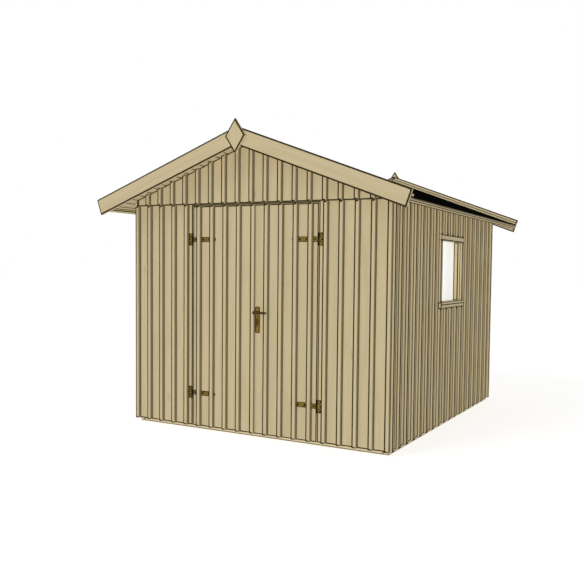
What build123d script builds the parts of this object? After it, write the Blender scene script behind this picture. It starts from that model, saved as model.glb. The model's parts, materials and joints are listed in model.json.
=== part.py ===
from build123d import *
from math import cos, radians, sin, tan
import os

# Board and batten cladding
batten_pitch = 140
batten_width = 40
batten_thickness = 22
board_thickness = 20
wall_bays = 18
cladding_bottom = 31

# Timber sections
stud_size = 45
plate_height = 45
rafter_depth = 70
ridge_beam_depth = 120
side_stud_battens = (3, 15)
back_stud_bays = (-6, -3, 0, 3, 6)

# Floor
joist_height = 70
floor_thickness = 18
bearer_width = 45
base_setback = 5
joist_count = 8

# Roof
roof_angle = 19.6
bargeboard_half_run = 1527
bargeboard_height = 140
bargeboard_thickness = 22
gable_overhang = 200
verge_reveal = 30
verge_batten_height = 28
verge_batten_width = 45
felt_thickness = 3
roof_board_thickness = 18
eave_batten_height = 22
eave_batten_width = 45
rafter_bays = 4
mitre_gap = 1

# Gable panels and finials
gable_bottom = 1948
gable_side_height = 47
finial_half_width = 97
finial_half_height = 139
finial_drop = 80
finial_thickness = 21

# Doorway and doors
doorway_batten = 14
doorway_inset = 44
door_gap = 6
seam_position = -12
door_head_gap = 12
door_clearance = 5
ledge_thickness = 22
ledge_height = 95
ledge_end_inset = 14
ledge_center_heights = (321, 800, 1651)
lintel_height = 70

# Hinges
hinge_center_heights = (321, 1651)
strap_length = 248
strap_height = 42
strap_tip_height = 16
strap_taper_length = 60
hinge_plate_thickness = 3
butt_height = 104
butt_batten_gap = 5
knuckle_radius = 6
hinge_pin_radius = 3.5
pin_running_gap = 0.05
knuckle_end_gap = 0.5
knuckle_face_gap = 1
strap_notch_clearance = 1
hinge_screw_radius = 3
strap_screw_reaches = (30, 115, 175, 225)

# Door furniture
handle_plate_width = 46
handle_plate_height = 218
handle_plate_corner_radius = 11.5
handle_plate_thickness = 3
handle_edge_gap = 1
lever_height = 1047
lever_offset = 61
lever_length = 95
lever_radius = 9
lever_projection = 45
lever_neck_radius = 8
spindle_radius = 4
lever_running_gap = 0.05
spindle_hole_radius = 10
keyhole_radius = 4
keyhole_drop = 70
lock_block_height = 250
lock_block_inset = 24

# Windows
window_first_batten = 7
window_last_batten = 11
window_bottom = 1137
window_top = 1691
window_head_height = 48
window_sill_height = 37
window_sill_nosing = 18
window_sill_projection = 10
window_nosing_projection = 4
window_lining_thickness = 14
window_lining_projection = 18
pane_thickness = 6
pane_rebate = 6

# Sizes that follow from the ones above
half_width = (wall_bays * batten_pitch + batten_width) / 2
side_face = half_width + batten_thickness
side_inner = half_width - board_thickness
side_frame_inner = side_inner - stud_size
front_face = half_width
front_boards = front_face - batten_thickness
front_inner = front_boards - board_thickness
front_frame_inner = front_inner - stud_size
gable_face = front_boards + board_thickness
floor_top = joist_height + floor_thickness
roof_tan = tan(radians(roof_angle))
roof_sin = sin(radians(roof_angle))
roof_cos = cos(radians(roof_angle))
felt_depth = verge_reveal + verge_batten_height
board_depth = felt_depth + felt_thickness
soffit_depth = board_depth + roof_board_thickness
gable_side_top = gable_bottom + gable_side_height
apex_height = gable_side_top + half_width * roof_tan + soffit_depth / roof_cos
bargeboard_end_height = apex_height - bargeboard_half_run * roof_tan
finial_center_height = apex_height - finial_drop
gable_half_width = side_inner
rafter_bottom_depth = soffit_depth + rafter_depth
bargeboard_face = front_face + gable_overhang
roof_half_length = bargeboard_face - bargeboard_thickness
door_top = gable_bottom - door_head_gap
lintel_bottom = door_top + door_clearance
wall_height = gable_side_top - mitre_gap
pin_center_y = -(front_boards + knuckle_face_gap + knuckle_radius)
hinge_plate_face_y = -(front_boards + hinge_plate_thickness)
doorway_batten_edge = doorway_batten * batten_pitch - half_width
doorway_half_width = doorway_batten_edge - doorway_inset
door_edge = doorway_half_width - door_gap
hinge_axis_x = doorway_half_width - door_gap / 2
butt_width = doorway_batten_edge - butt_batten_gap - hinge_axis_x
handle_center_x = seam_position + batten_width + handle_edge_gap + handle_plate_width / 2
handle_plate_center_height = lever_height - lever_offset

os.makedirs("parts", exist_ok=True)


def save(part, name):
    part.label = name
    export_step(part, f"parts/{name}.step")


def facing_plane(y):
    """Upright plane at depth y; extruding from it goes towards the front."""
    return Plane.XZ.offset(-y)


def side_plane(x):
    """Upright plane at x; extruding from it goes towards +X."""
    return Plane.YZ.offset(x)


def level_plane(z):
    return Plane.XY.offset(z)


def bar(x_range, y_range, z_range, mode=Mode.ADD):
    """A squared timber or plate between two corners."""
    corners = list(zip(x_range, y_range, z_range))
    middle = [(low + high) / 2 for low, high in zip(*corners)]
    spans = [high - low for low, high in zip(*corners)]
    with Locations(tuple(middle)):
        Box(*spans, mode=mode)


def roof_height(x, depth):
    """Height of the line that lies `depth` square below the bargeboard's top edge."""
    return apex_height - abs(x) * roof_tan - depth / roof_cos


def eave_point(depth):
    """Point on the square-cut eave end, `depth` below the bargeboard's top edge."""
    return (
        bargeboard_half_run - depth * roof_sin,
        bargeboard_end_height - depth * roof_cos,
    )


def slope_corners(top_depth, bottom_depth, start=0.0):
    """Corners of one layer of the right-hand slope, from the ridge to the eave."""
    return (
        (start, roof_height(start, top_depth)),
        eave_point(top_depth),
        eave_point(bottom_depth),
        (start, roof_height(start, bottom_depth)),
    )


def batten_positions():
    return [batten_edge(index) + batten_width / 2 for index in range(wall_bays + 1)]


def batten_edge(index):
    """Lower edge of a numbered batten along its wall."""
    return index * batten_pitch - half_width


# Floor: two long bearers with joists between them, under a boarded floor
base_half_width = side_inner
base_half_length = front_inner - base_setback
with BuildPart() as side_bearers:
    for side in (-1, 1):
        edges = sorted((side * base_half_width, side * (base_half_width - bearer_width)))
        bar(edges, (-base_half_length, base_half_length), (0, joist_height))
save(side_bearers.part, "side_bearers")

joist_half_span = base_half_width - bearer_width
joist_pitch = (2 * base_half_length - bearer_width) / (joist_count - 1)
with BuildPart() as cross_joists:
    for index in range(joist_count):
        near = index * joist_pitch - base_half_length
        bar((-joist_half_span, joist_half_span), (near, near + bearer_width), (0, joist_height))
save(cross_joists.part, "cross_joists")

floor_width = (-base_half_width, base_half_width)
floor_length = (-base_half_length, base_half_length)
with BuildPart() as floor_boards:
    bar(floor_width, floor_length, (joist_height, floor_top))
save(floor_boards.part, "floor_boards")


# Front wall: cladding beside the doorway, and the lintel that closes it above
def front_cladding(side):
    with BuildPart() as cladding:
        edges = sorted((side * doorway_half_width, side * half_width))
        bar(edges, (-front_boards, -front_inner), (cladding_bottom, wall_height))
    return cladding.part


save(front_cladding(-1), "front_wall_left")
save(front_cladding(1), "front_wall_right")

tie_half_length = side_frame_inner - mitre_gap
tie_ends = (-tie_half_length, tie_half_length)
with BuildPart() as door_header:
    bar(
        (-doorway_half_width, doorway_half_width),
        (-front_boards, -front_inner),
        (lintel_bottom, wall_height),
    )
    bar(tie_ends, (-front_inner, -front_frame_inner), (lintel_bottom, lintel_bottom + lintel_height))
save(door_header.part, "door_header")

with BuildPart() as door_posts:
    for side in (-1, 1):
        edges = sorted((side * doorway_half_width, side * (doorway_half_width + stud_size)))
        bar(edges, (-front_inner, -front_frame_inner), (floor_top, lintel_bottom))
save(door_posts.part, "door_posts")

# Gable panels: the cladding above the walls, standing in front of the walls' boards
gable_corners = (
    (-gable_half_width, gable_bottom),
    (gable_half_width, gable_bottom),
    (gable_half_width, roof_height(gable_half_width, soffit_depth)),
    (0, roof_height(0, soffit_depth)),
    (-gable_half_width, roof_height(gable_half_width, soffit_depth)),
)


def gable_panel(y):
    with BuildPart() as panel:
        with BuildSketch(facing_plane(y)):
            with BuildLine():
                Polyline(*gable_corners, close=True)
            make_face()
        extrude(amount=board_thickness)
    return panel.part


save(gable_panel(-front_boards), "front_gable")
save(gable_panel(gable_face), "back_gable")

with BuildPart() as back_wall:
    bar((-half_width, half_width), (front_inner, front_boards), (cladding_bottom, wall_height))
save(back_wall.part, "back_wall")

# Window openings, and the heights of the head above them and the sill below
window_near = batten_edge(window_first_batten) + batten_width
window_far = batten_edge(window_last_batten)
window_width = (window_near, window_far)
window_height = (window_bottom, window_top)
trim_width = (window_near - batten_width, window_far + batten_width)
nosing_bottom = window_bottom - window_sill_nosing
sill_bottom = nosing_bottom - window_sill_height
head_height = (window_top, window_top + window_head_height)
sill_height = (sill_bottom, window_bottom)


# Long walls: cladding with a window cut through it, its top following the roof boards
def long_wall(side):
    with BuildPart() as wall:
        with BuildSketch(facing_plane(front_inner)):
            with BuildLine():
                Polyline(
                    (side_inner, cladding_bottom),
                    (half_width, cladding_bottom),
                    (half_width, roof_height(half_width, soffit_depth)),
                    (side_inner, roof_height(side_inner, soffit_depth)),
                    close=True,
                )
            make_face()
        extrude(amount=2 * front_inner)
        bar((side_inner, half_width), window_width, window_height, mode=Mode.SUBTRACT)
    return wall.part if side > 0 else mirror(wall.part, about=Plane.YZ)


save(long_wall(-1), "left_wall")
save(long_wall(1), "right_wall")


# Battens of the front and back walls, below the gable panels
def low_battens(y, centers):
    with BuildPart() as battens:
        with BuildSketch(level_plane(cladding_bottom)):
            with Locations(*[(x, y) for x in centers]):
                Rectangle(batten_width, batten_thickness)
        extrude(amount=gable_bottom - cladding_bottom)
    return battens.part


wall_battens = [x for x in batten_positions() if abs(x) > doorway_half_width]
batten_middle = front_boards + batten_thickness / 2
save(low_battens(-batten_middle, wall_battens), "front_battens")
save(low_battens(batten_middle, batten_positions()), "back_battens")

# Battens of both gable panels, cut to the slope under the roof boards; none at the corners
gable_batten_positions = batten_positions()[1:-1]
with BuildPart() as gable_battens:
    for plane in (facing_plane(-gable_face), facing_plane(gable_face + batten_thickness)):
        with BuildSketch(plane):
            with Locations(*[(x, gable_bottom) for x in gable_batten_positions]):
                Rectangle(batten_width, apex_height, align=(Align.CENTER, Align.MIN))
            with BuildLine():
                Polyline(*gable_corners, close=True)
            make_face(mode=Mode.INTERSECT)
        extrude(amount=batten_thickness)
save(gable_battens.part, "gable_battens")


# Battens of the long walls, stopped at the window, its head and its sill; the end ones close the corners
def side_batten_edge(index):
    """Nearer edge of a numbered batten of a long wall, the end ones flush with the end boards."""
    limit = front_boards - batten_width
    return min(batten_edge(index), limit) if index else -front_boards


def side_battens(side):
    with BuildPart() as battens:
        for index in range(wall_bays + 1):
            with BuildSketch(facing_plane(side_batten_edge(index) + batten_width)):
                with BuildLine():
                    Polyline(
                        (half_width, cladding_bottom),
                        (side_face, cladding_bottom),
                        (side_face, roof_height(side_face, soffit_depth)),
                        (half_width, roof_height(half_width, soffit_depth)),
                        close=True,
                    )
                make_face()
            extrude(amount=batten_width)
        bar((half_width, side_face), window_width, window_height, mode=Mode.SUBTRACT)
        bar((half_width, side_face), trim_width, head_height, mode=Mode.SUBTRACT)
        bar((half_width, side_face), trim_width, sill_height, mode=Mode.SUBTRACT)
    return battens.part if side > 0 else mirror(battens.part, about=Plane.YZ)


save(side_battens(-1), "left_battens")
save(side_battens(1), "right_battens")

# Wall frame: studs standing on the floor plates, and the sloped plates that carry the rafters
stud_bottom = floor_top + plate_height
side_stud_top = roof_height(side_frame_inner, rafter_bottom_depth) - plate_height
back_stud_top = wall_height - plate_height
window_stud_gap = window_lining_thickness
side_stud_edges = (
    -front_inner,
    batten_edge(side_stud_battens[0]),
    window_near - window_stud_gap - stud_size,
    window_far + window_stud_gap,
    batten_edge(side_stud_battens[1]),
    front_inner - stud_size,
)
back_stud_centers = [batten_pitch * bays for bays in back_stud_bays]
with BuildPart() as wall_studs:
    for side in (-1, 1):
        edges = sorted((side * side_inner, side * side_frame_inner))
        for near in side_stud_edges:
            bar(edges, (near, near + stud_size), (stud_bottom, side_stud_top))
    for center in back_stud_centers:
        ends = (center - stud_size / 2, center + stud_size / 2)
        bar(ends, (front_frame_inner, front_inner), (stud_bottom, back_stud_top))
save(wall_studs.part, "wall_studs")

with BuildPart() as wall_plates:
    for mirrored in (False, True):
        with BuildSketch(facing_plane(front_inner)):
            with BuildLine():
                Polyline(
                    (side_frame_inner, side_stud_top),
                    (side_inner, side_stud_top),
                    (side_inner, roof_height(side_inner, rafter_bottom_depth)),
                    (side_frame_inner, roof_height(side_frame_inner, rafter_bottom_depth)),
                    close=True,
                )
            make_face()
            if mirrored:
                mirror(about=Plane.YZ, mode=Mode.REPLACE)
        extrude(amount=2 * front_inner)
    for side in (-1, 1):
        edges = sorted((side * side_inner, side * side_frame_inner))
        bar(edges, (-front_inner, front_inner), (floor_top, stud_bottom))
        short_ends = sorted((side * tie_half_length, side * (doorway_half_width + stud_size)))
        bar(short_ends, (-front_inner, -front_frame_inner), (floor_top, stud_bottom))
    for low in (floor_top, back_stud_top):
        bar(tie_ends, (front_frame_inner, front_inner), (low, low + plate_height))
save(wall_plates.part, "wall_plates")

# Roof frame
ridge_half_width = stud_size / 2
ridge_top = roof_height(ridge_half_width, soffit_depth)
with BuildPart() as ridge_beam:
    with BuildSketch(facing_plane(front_boards)):
        with BuildLine():
            Polyline(
                (-ridge_half_width, ridge_top - ridge_beam_depth),
                (ridge_half_width, ridge_top - ridge_beam_depth),
                (ridge_half_width, ridge_top),
                (0, roof_height(0, soffit_depth)),
                (-ridge_half_width, ridge_top),
                close=True,
            )
        make_face()
    extrude(amount=2 * front_boards)
save(ridge_beam.part, "ridge_beam")


def rafters(side):
    with BuildPart() as pieces:
        for index in range(rafter_bays + 1):
            span = 2 * front_frame_inner - stud_size
            near = index * span / rafter_bays - front_frame_inner
            with BuildSketch(facing_plane(near + stud_size)):
                with BuildLine():
                    Polyline(
                        (ridge_half_width, ridge_top),
                        (side_inner, roof_height(side_inner, soffit_depth)),
                        (side_inner, roof_height(side_inner, rafter_bottom_depth)),
                        (ridge_half_width, roof_height(ridge_half_width, rafter_bottom_depth)),
                        close=True,
                    )
                make_face()
            extrude(amount=stud_size)
    return pieces.part if side > 0 else mirror(pieces.part, about=Plane.YZ)


save(rafters(-1), "left_rafters")
save(rafters(1), "right_rafters")


# Roof covering
def roof_layer(top_depth, bottom_depth, side):
    with BuildPart() as layer:
        with BuildSketch(facing_plane(roof_half_length)):
            with BuildLine():
                Polyline(*slope_corners(top_depth, bottom_depth), close=True)
            make_face()
        extrude(amount=2 * roof_half_length)
    return layer.part if side > 0 else mirror(layer.part, about=Plane.YZ)


save(roof_layer(board_depth, soffit_depth, -1), "left_roof_boards")
save(roof_layer(board_depth, soffit_depth, 1), "right_roof_boards")

with BuildPart() as roof_felt:
    with BuildSketch(facing_plane(roof_half_length)):
        with BuildLine():
            Polyline(*slope_corners(felt_depth, board_depth), close=True)
        make_face()
        mirror(about=Plane.YZ)
    extrude(amount=2 * roof_half_length)
save(roof_felt.part, "roof_felt")

with BuildPart() as verge_battens:
    for y in (-roof_half_length + verge_batten_width, roof_half_length):
        with BuildSketch(facing_plane(y)):
            with BuildLine():
                Polyline(*slope_corners(verge_reveal, felt_depth, start=mitre_gap / 2), close=True)
            make_face()
            mirror(about=Plane.YZ)
        extrude(amount=verge_batten_width)
save(verge_battens.part, "verge_battens")

eave_batten_bottom = soffit_depth + eave_batten_height
with BuildPart() as eave_battens:
    with BuildSketch(facing_plane(roof_half_length)):
        with BuildLine():
            top_outer = eave_point(soffit_depth)
            low_outer = eave_point(eave_batten_bottom)
            Polyline(
                top_outer,
                low_outer,
                (low_outer[0] - eave_batten_width * roof_cos, low_outer[1] + eave_batten_width * roof_sin),
                (top_outer[0] - eave_batten_width * roof_cos, top_outer[1] + eave_batten_width * roof_sin),
                close=True,
            )
        make_face()
        mirror(about=Plane.YZ)
    extrude(amount=2 * roof_half_length)
save(eave_battens.part, "eave_battens")


# Bargeboards, square cut at the eaves and mitred at the apex behind the finial
def bargeboards(y):
    with BuildPart() as boards:
        with BuildSketch(facing_plane(y)):
            with BuildLine():
                Polyline(*slope_corners(0, bargeboard_height, start=mitre_gap / 2), close=True)
            make_face()
            mirror(about=Plane.YZ)
        extrude(amount=bargeboard_thickness)
    return boards.part


save(bargeboards(-roof_half_length), "front_bargeboards")
save(bargeboards(bargeboard_face), "back_bargeboards")

with BuildPart() as finials:
    for y in (-bargeboard_face, bargeboard_face + finial_thickness):
        with BuildSketch(facing_plane(y)):
            with BuildLine():
                Polyline(
                    (finial_half_width, finial_center_height),
                    (0, finial_center_height + finial_half_height),
                    (-finial_half_width, finial_center_height),
                    (0, finial_center_height - finial_half_height),
                    close=True,
                )
            make_face()
        extrude(amount=finial_thickness)
save(finials.part, "finials")


# Windows: head and sill set in among the battens, a lining behind the cladding, and the pane it holds
sill_face = side_face + window_sill_projection
nosing_face = sill_face + window_nosing_projection
with BuildPart() as window_casings:
    for side in (-1, 1):
        bar(sorted((side * half_width, side * side_face)), trim_width, head_height)
        bar(sorted((side * half_width, side * nosing_face)), trim_width, (nosing_bottom, window_bottom))
        bar(sorted((side * half_width, side * sill_face)), trim_width, (sill_bottom, nosing_bottom))
save(window_casings.part, "window_casings")


def widened(span, amount):
    """A low and high pair moved apart by an amount at each end."""
    return (span[0] - amount, span[1] + amount)


lining_inner = side_frame_inner - window_lining_projection
pane_inner = side_frame_inner - pane_thickness
with BuildPart() as window_frames:
    for side in (-1, 1):
        outer = [widened(span, window_lining_thickness) for span in (window_width, window_height)]
        rebate = [widened(span, pane_rebate) for span in (window_width, window_height)]
        stop = [widened(span, -pane_rebate) for span in (window_width, window_height)]
        bar(sorted((side * side_inner, side * lining_inner)), *outer)
        reveal = sorted((side * side_inner, side * side_frame_inner))
        bar(reveal, window_width, window_height, mode=Mode.SUBTRACT)
        bar(sorted((side * side_frame_inner, side * pane_inner)), *rebate, mode=Mode.SUBTRACT)
        bar(sorted((side * pane_inner, side * lining_inner)), *stop, mode=Mode.SUBTRACT)
save(window_frames.part, "window_frames")

with BuildPart() as window_panes:
    for side in (-1, 1):
        faces = sorted((side * pane_inner, side * side_frame_inner))
        bar(faces, widened(window_width, pane_rebate), widened(window_height, pane_rebate))
save(window_panes.part, "window_panes")


# Door leaves: boards, face battens notched over the hinge straps, and ledges behind
def door_boards(edges, hole=None):
    with BuildPart() as boards:
        bar(edges, (-front_boards, -front_inner), (cladding_bottom, door_top))
        if hole:
            with BuildSketch(facing_plane(-front_inner)):
                with Locations(hole):
                    Circle(spindle_hole_radius)
            extrude(amount=board_thickness, mode=Mode.SUBTRACT)
    return boards.part


def door_battens(centers, strap_side):
    notch_depth = hinge_plate_thickness + strap_notch_clearance
    notch_height = strap_height + 2 * strap_notch_clearance
    strap_end = strap_side * (hinge_axis_x - strap_length - strap_notch_clearance)
    edges = sorted((strap_end, strap_side * hinge_axis_x))
    with BuildPart() as battens:
        with BuildSketch(level_plane(cladding_bottom)):
            with Locations(*[(x, -batten_middle) for x in centers]):
                Rectangle(batten_width, batten_thickness)
        extrude(amount=door_top - cladding_bottom)
        for height in hinge_center_heights:
            ends = (height - notch_height / 2, height + notch_height / 2)
            bar(edges, (-front_boards - notch_depth, -front_boards), ends, mode=Mode.SUBTRACT)
    return battens.part


def door_ledges(edges, lock_block=None):
    back = -front_inner + ledge_thickness
    with BuildPart() as ledges:
        for center in ledge_center_heights:
            bar(edges, (-front_inner, back), (center - ledge_height / 2, center + ledge_height / 2))
        if lock_block:
            low = handle_plate_center_height - lock_block_height / 2
            high = handle_plate_center_height + lock_block_height / 2
            bar(lock_block, (-front_inner, back), (low, high))
            with BuildSketch(facing_plane(back)):
                with Locations((handle_center_x, lever_height)):
                    Circle(spindle_hole_radius)
            extrude(amount=ledge_thickness, mode=Mode.SUBTRACT)
    return ledges.part


left_centers = [x for x in batten_positions() if -doorway_half_width < x < -batten_width]
right_centers = [x for x in batten_positions() if batten_width < x < doorway_half_width]
meeting_batten = seam_position + batten_width / 2
save(door_boards((-door_edge, seam_position - door_gap)), "left_door_boards")
save(door_battens(left_centers, -1), "left_door_battens")
left_ledge_ends = (-door_edge + ledge_end_inset, seam_position - door_gap - ledge_end_inset)
save(door_ledges(left_ledge_ends), "left_door_ledges")

save(door_boards((seam_position, door_edge), hole=(handle_center_x, lever_height)), "right_door_boards")
save(door_battens([meeting_batten] + right_centers, 1), "right_door_battens")
right_ledge_ends = (seam_position + ledge_end_inset, door_edge - ledge_end_inset)
block_ends = (seam_position + lock_block_inset, handle_center_x + handle_plate_width)
save(door_ledges(right_ledge_ends, lock_block=block_ends), "right_door_ledges")


# Three-sided T hinges: the butt plate and outer knuckles stay on the wall, the strap turns
def knuckle(x, low, high, radius):
    with Locations((x, pin_center_y, (low + high) / 2)):
        Cylinder(radius, high - low)


def hinge_straps(side):
    axis_x = side * hinge_axis_x
    tip_x = side * (hinge_axis_x - strap_length)
    taper_x = tip_x + side * strap_taper_length
    with BuildPart() as straps:
        for height in hinge_center_heights:
            with BuildSketch(facing_plane(-front_boards)):
                with BuildLine():
                    Polyline(
                        (axis_x, height - strap_height / 2),
                        (taper_x, height - strap_height / 2),
                        (tip_x, height - strap_tip_height / 2),
                        (tip_x, height + strap_tip_height / 2),
                        (taper_x, height + strap_height / 2),
                        (axis_x, height + strap_height / 2),
                        close=True,
                    )
                make_face()
                with Locations(*[(axis_x - side * reach, height) for reach in strap_screw_reaches]):
                    Circle(hinge_screw_radius, mode=Mode.SUBTRACT)
            extrude(amount=hinge_plate_thickness)
            knuckle(axis_x, height - strap_height / 2, height + strap_height / 2, knuckle_radius)
            with Locations((axis_x, pin_center_y, height)):
                Cylinder(hinge_pin_radius + pin_running_gap, strap_height, mode=Mode.SUBTRACT)
    return straps.part


def hinge_butt(side, height):
    axis_x = side * hinge_axis_x
    plate_ends = sorted((axis_x, side * (hinge_axis_x + butt_width)))
    bar(
        plate_ends,
        (hinge_plate_face_y, -front_boards),
        (height - butt_height / 2, height + butt_height / 2),
    )
    inner = strap_height / 2 + knuckle_end_gap
    cut_ends = sorted((axis_x - side * knuckle_radius, axis_x + side * (knuckle_radius + knuckle_end_gap)))
    bar(
        cut_ends,
        (hinge_plate_face_y, -front_boards),
        (height - inner, height + inner),
        mode=Mode.SUBTRACT,
    )
    knuckle(axis_x, height - butt_height / 2, height - inner, knuckle_radius)
    knuckle(axis_x, height + inner, height + butt_height / 2, knuckle_radius)
    with Locations((axis_x, pin_center_y, height)):
        Cylinder(hinge_pin_radius, butt_height)


with BuildPart() as hinge_butts:
    for side in (-1, 1):
        for height in hinge_center_heights:
            hinge_butt(side, height)
save(hinge_butts.part, "hinge_butts")
save(hinge_straps(-1), "left_door_straps")
save(hinge_straps(1), "right_door_straps")

# Handle plates outside and inside, bored for the lever's necks
inner_plate_y = -front_inner + ledge_thickness + handle_plate_thickness
keyhole = (handle_center_x, lever_height - keyhole_drop)
with BuildPart() as handle_plates:
    for y in (-front_boards, inner_plate_y):
        with BuildSketch(facing_plane(y)):
            with Locations((handle_center_x, handle_plate_center_height)):
                RectangleRounded(handle_plate_width, handle_plate_height, handle_plate_corner_radius)
            with Locations((handle_center_x, lever_height)):
                Circle(lever_neck_radius + lever_running_gap, mode=Mode.SUBTRACT)
            with Locations(keyhole):
                Circle(keyhole_radius, mode=Mode.SUBTRACT)
        extrude(amount=handle_plate_thickness)
save(handle_plates.part, "handle_plates")

# Lever handle: one spindle through the door with a lever at each end
outer_lever_y = -front_boards - lever_projection
inner_lever_y = inner_plate_y - handle_plate_thickness + lever_projection
with BuildPart() as lever_handle:
    with BuildSketch(facing_plane(inner_lever_y)):
        with Locations((handle_center_x, lever_height)):
            Circle(spindle_radius)
    extrude(amount=inner_lever_y - outer_lever_y)
    for start, end in ((-front_boards, outer_lever_y), (inner_lever_y, -front_inner + ledge_thickness)):
        with BuildSketch(facing_plane(start)):
            with Locations((handle_center_x, lever_height)):
                Circle(lever_neck_radius)
        extrude(amount=start - end)
    for y in (outer_lever_y, inner_lever_y):
        with BuildSketch(side_plane(handle_center_x)):
            with Locations((y, lever_height)):
                Circle(lever_radius)
        extrude(amount=lever_length)
        with Locations((handle_center_x, y, lever_height)):
            Sphere(lever_radius)
        with Locations((handle_center_x + lever_length, y, lever_height)):
            Sphere(lever_radius)
save(lever_handle.part, "lever_handle")
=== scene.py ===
# %% [markdown]
# # A board-and-batten garden shed
#
# The frame holds the shed's carpentry at its real size: walls, doors, roof and hinges. This lesson
# gives every surface its finish, makes the boards and screws that repeat, and sets up a plain
# studio. The first cell loads the frame. Everything after it is in metres, with -Y in front of the
# doors and +Z up.

# %% Load the frame
import json
import math

import bmesh
import bpy
from mathutils import Matrix, Vector


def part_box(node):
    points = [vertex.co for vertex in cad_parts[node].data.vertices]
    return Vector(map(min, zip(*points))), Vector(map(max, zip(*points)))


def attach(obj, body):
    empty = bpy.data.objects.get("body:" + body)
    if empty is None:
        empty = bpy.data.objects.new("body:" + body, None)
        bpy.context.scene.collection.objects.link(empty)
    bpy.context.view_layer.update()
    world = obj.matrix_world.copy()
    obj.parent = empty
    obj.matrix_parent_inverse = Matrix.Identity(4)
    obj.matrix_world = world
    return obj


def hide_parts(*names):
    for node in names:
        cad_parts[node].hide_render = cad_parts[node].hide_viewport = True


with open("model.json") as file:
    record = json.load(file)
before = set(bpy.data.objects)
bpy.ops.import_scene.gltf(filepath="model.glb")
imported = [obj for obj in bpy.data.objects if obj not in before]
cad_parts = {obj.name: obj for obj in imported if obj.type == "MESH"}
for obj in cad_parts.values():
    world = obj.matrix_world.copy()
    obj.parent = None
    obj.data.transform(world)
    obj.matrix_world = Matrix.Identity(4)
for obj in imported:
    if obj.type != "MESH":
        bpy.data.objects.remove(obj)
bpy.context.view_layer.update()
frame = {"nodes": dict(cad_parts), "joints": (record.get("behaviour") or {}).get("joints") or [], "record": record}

# %% [markdown]
# ## The sizes this lesson needs
#
# The battens stand at one regular spacing on every wall, and a few finishes follow that spacing.
# The width of the walls is read from a piece of the frame. The others, such as the slope of the
# roof, are written down here.

# %% Shared sizes
BATTEN_PITCH = 0.140
BATTEN_WIDTH = 0.040
ARRIS = 0.003
RIM = 0.0075
JOINT_SHADOW = 0.006
INSIDE_JOINT = 0.0025
SIDE_SHADOW = 0.005
wall_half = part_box("back_wall")[1].x
first_batten_center = BATTEN_WIDTH / 2 - wall_half
ROOF_ANGLE = math.radians(19.6)
print("walls are", round(2 * wall_half, 3), "m wide; first batten at", round(first_batten_center, 3))

# %% [markdown]
# ## Camera
#
# The picture is a crop of a wider view, and the point that the camera looks at lies to the right of
# the picture's middle. A shift of the lens says that without tilting the upright lines. The turn of
# the camera is built from its three axes: right, up and backwards.

# %% The camera
PICTURE_SIDE = 584
FOCAL_PIXELS = 658.0
AIM_PIXEL = (404.88, 300.75)
CAMERA_PLACE = (3.377, -5.730, 1.420)
CAMERA_YAW = math.radians(-24.009)
CAMERA_PITCH = math.radians(-2.679)
CAMERA_ROLL = math.radians(1.006)
SENSOR = 36.0

ahead = Vector((
    math.sin(CAMERA_YAW) * math.cos(CAMERA_PITCH),
    math.cos(CAMERA_YAW) * math.cos(CAMERA_PITCH),
    math.sin(CAMERA_PITCH),
))
level_right = Vector((math.cos(CAMERA_YAW), -math.sin(CAMERA_YAW), 0))
level_up = level_right.cross(ahead)
right = level_right * math.cos(CAMERA_ROLL) + level_up * math.sin(CAMERA_ROLL)
up = level_up * math.cos(CAMERA_ROLL) - level_right * math.sin(CAMERA_ROLL)

camera_data = bpy.data.cameras.new("camera")
camera_data.sensor_width = SENSOR
camera_data.lens = FOCAL_PIXELS * SENSOR / PICTURE_SIDE
camera_data.shift_x = (PICTURE_SIDE / 2 - AIM_PIXEL[0]) / PICTURE_SIDE
camera_data.shift_y = (AIM_PIXEL[1] - PICTURE_SIDE / 2) / PICTURE_SIDE
camera = bpy.data.objects.new("camera", camera_data)
turn = Matrix((right, up, -ahead)).transposed().to_4x4()
camera.matrix_world = Matrix.Translation(CAMERA_PLACE) @ turn
bpy.context.collection.objects.link(camera)
bpy.context.scene.camera = camera
bpy.context.scene.view_settings.view_transform = "Standard"
shifts = round(camera_data.shift_x, 3), round(camera_data.shift_y, 3)
print("lens", round(camera_data.lens, 2), "mm, shift", shifts)

# %% [markdown]
# ## Small helpers for nodes
#
# Every material and every pattern below is a graph of nodes. These helpers add a node, set its
# plain values and link it, so that each graph reads from top to bottom.


# %% Helpers for node graphs
def add(tree, kind, **values):
    """Adds a node and sets its properties from the named values."""
    node = tree.nodes.new(kind)
    for name, value in values.items():
        setattr(node, name, value)
    return node


def join(tree, source, target):
    """Links one socket to another."""
    tree.links.new(source, target)


def arithmetic(tree, operation, first, second=None, clamp=False):
    """A Math node; each operand is a number or a socket. Gives back the result's socket."""
    node = add(tree, "ShaderNodeMath", operation=operation, use_clamp=clamp)
    for place, operand in enumerate((first, second)):
        if operand is None:
            continue
        if isinstance(operand, (int, float)):
            node.inputs[place].default_value = operand
        else:
            join(tree, operand, node.inputs[place])
    return node.outputs[0]


def scaled_and_raised(tree, value, scale, start):
    """The value times scale, plus start."""
    return arithmetic(tree, "ADD", arithmetic(tree, "MULTIPLY", value, scale), start)


def blend_colors(tree, amount, first, second, kind="MIX"):
    """A colour mix; amount is a number or a socket, and each colour is a triple or a socket."""
    node = add(tree, "ShaderNodeMix", data_type="RGBA", blend_type=kind)
    for socket, value in ((node.inputs[0], amount), (node.inputs[6], first), (node.inputs[7], second)):
        if isinstance(value, (int, float)):
            socket.default_value = value
        elif isinstance(value, tuple):
            socket.default_value = (*value, 1)
        else:
            join(tree, value, socket)
    return node.outputs[2]


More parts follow.
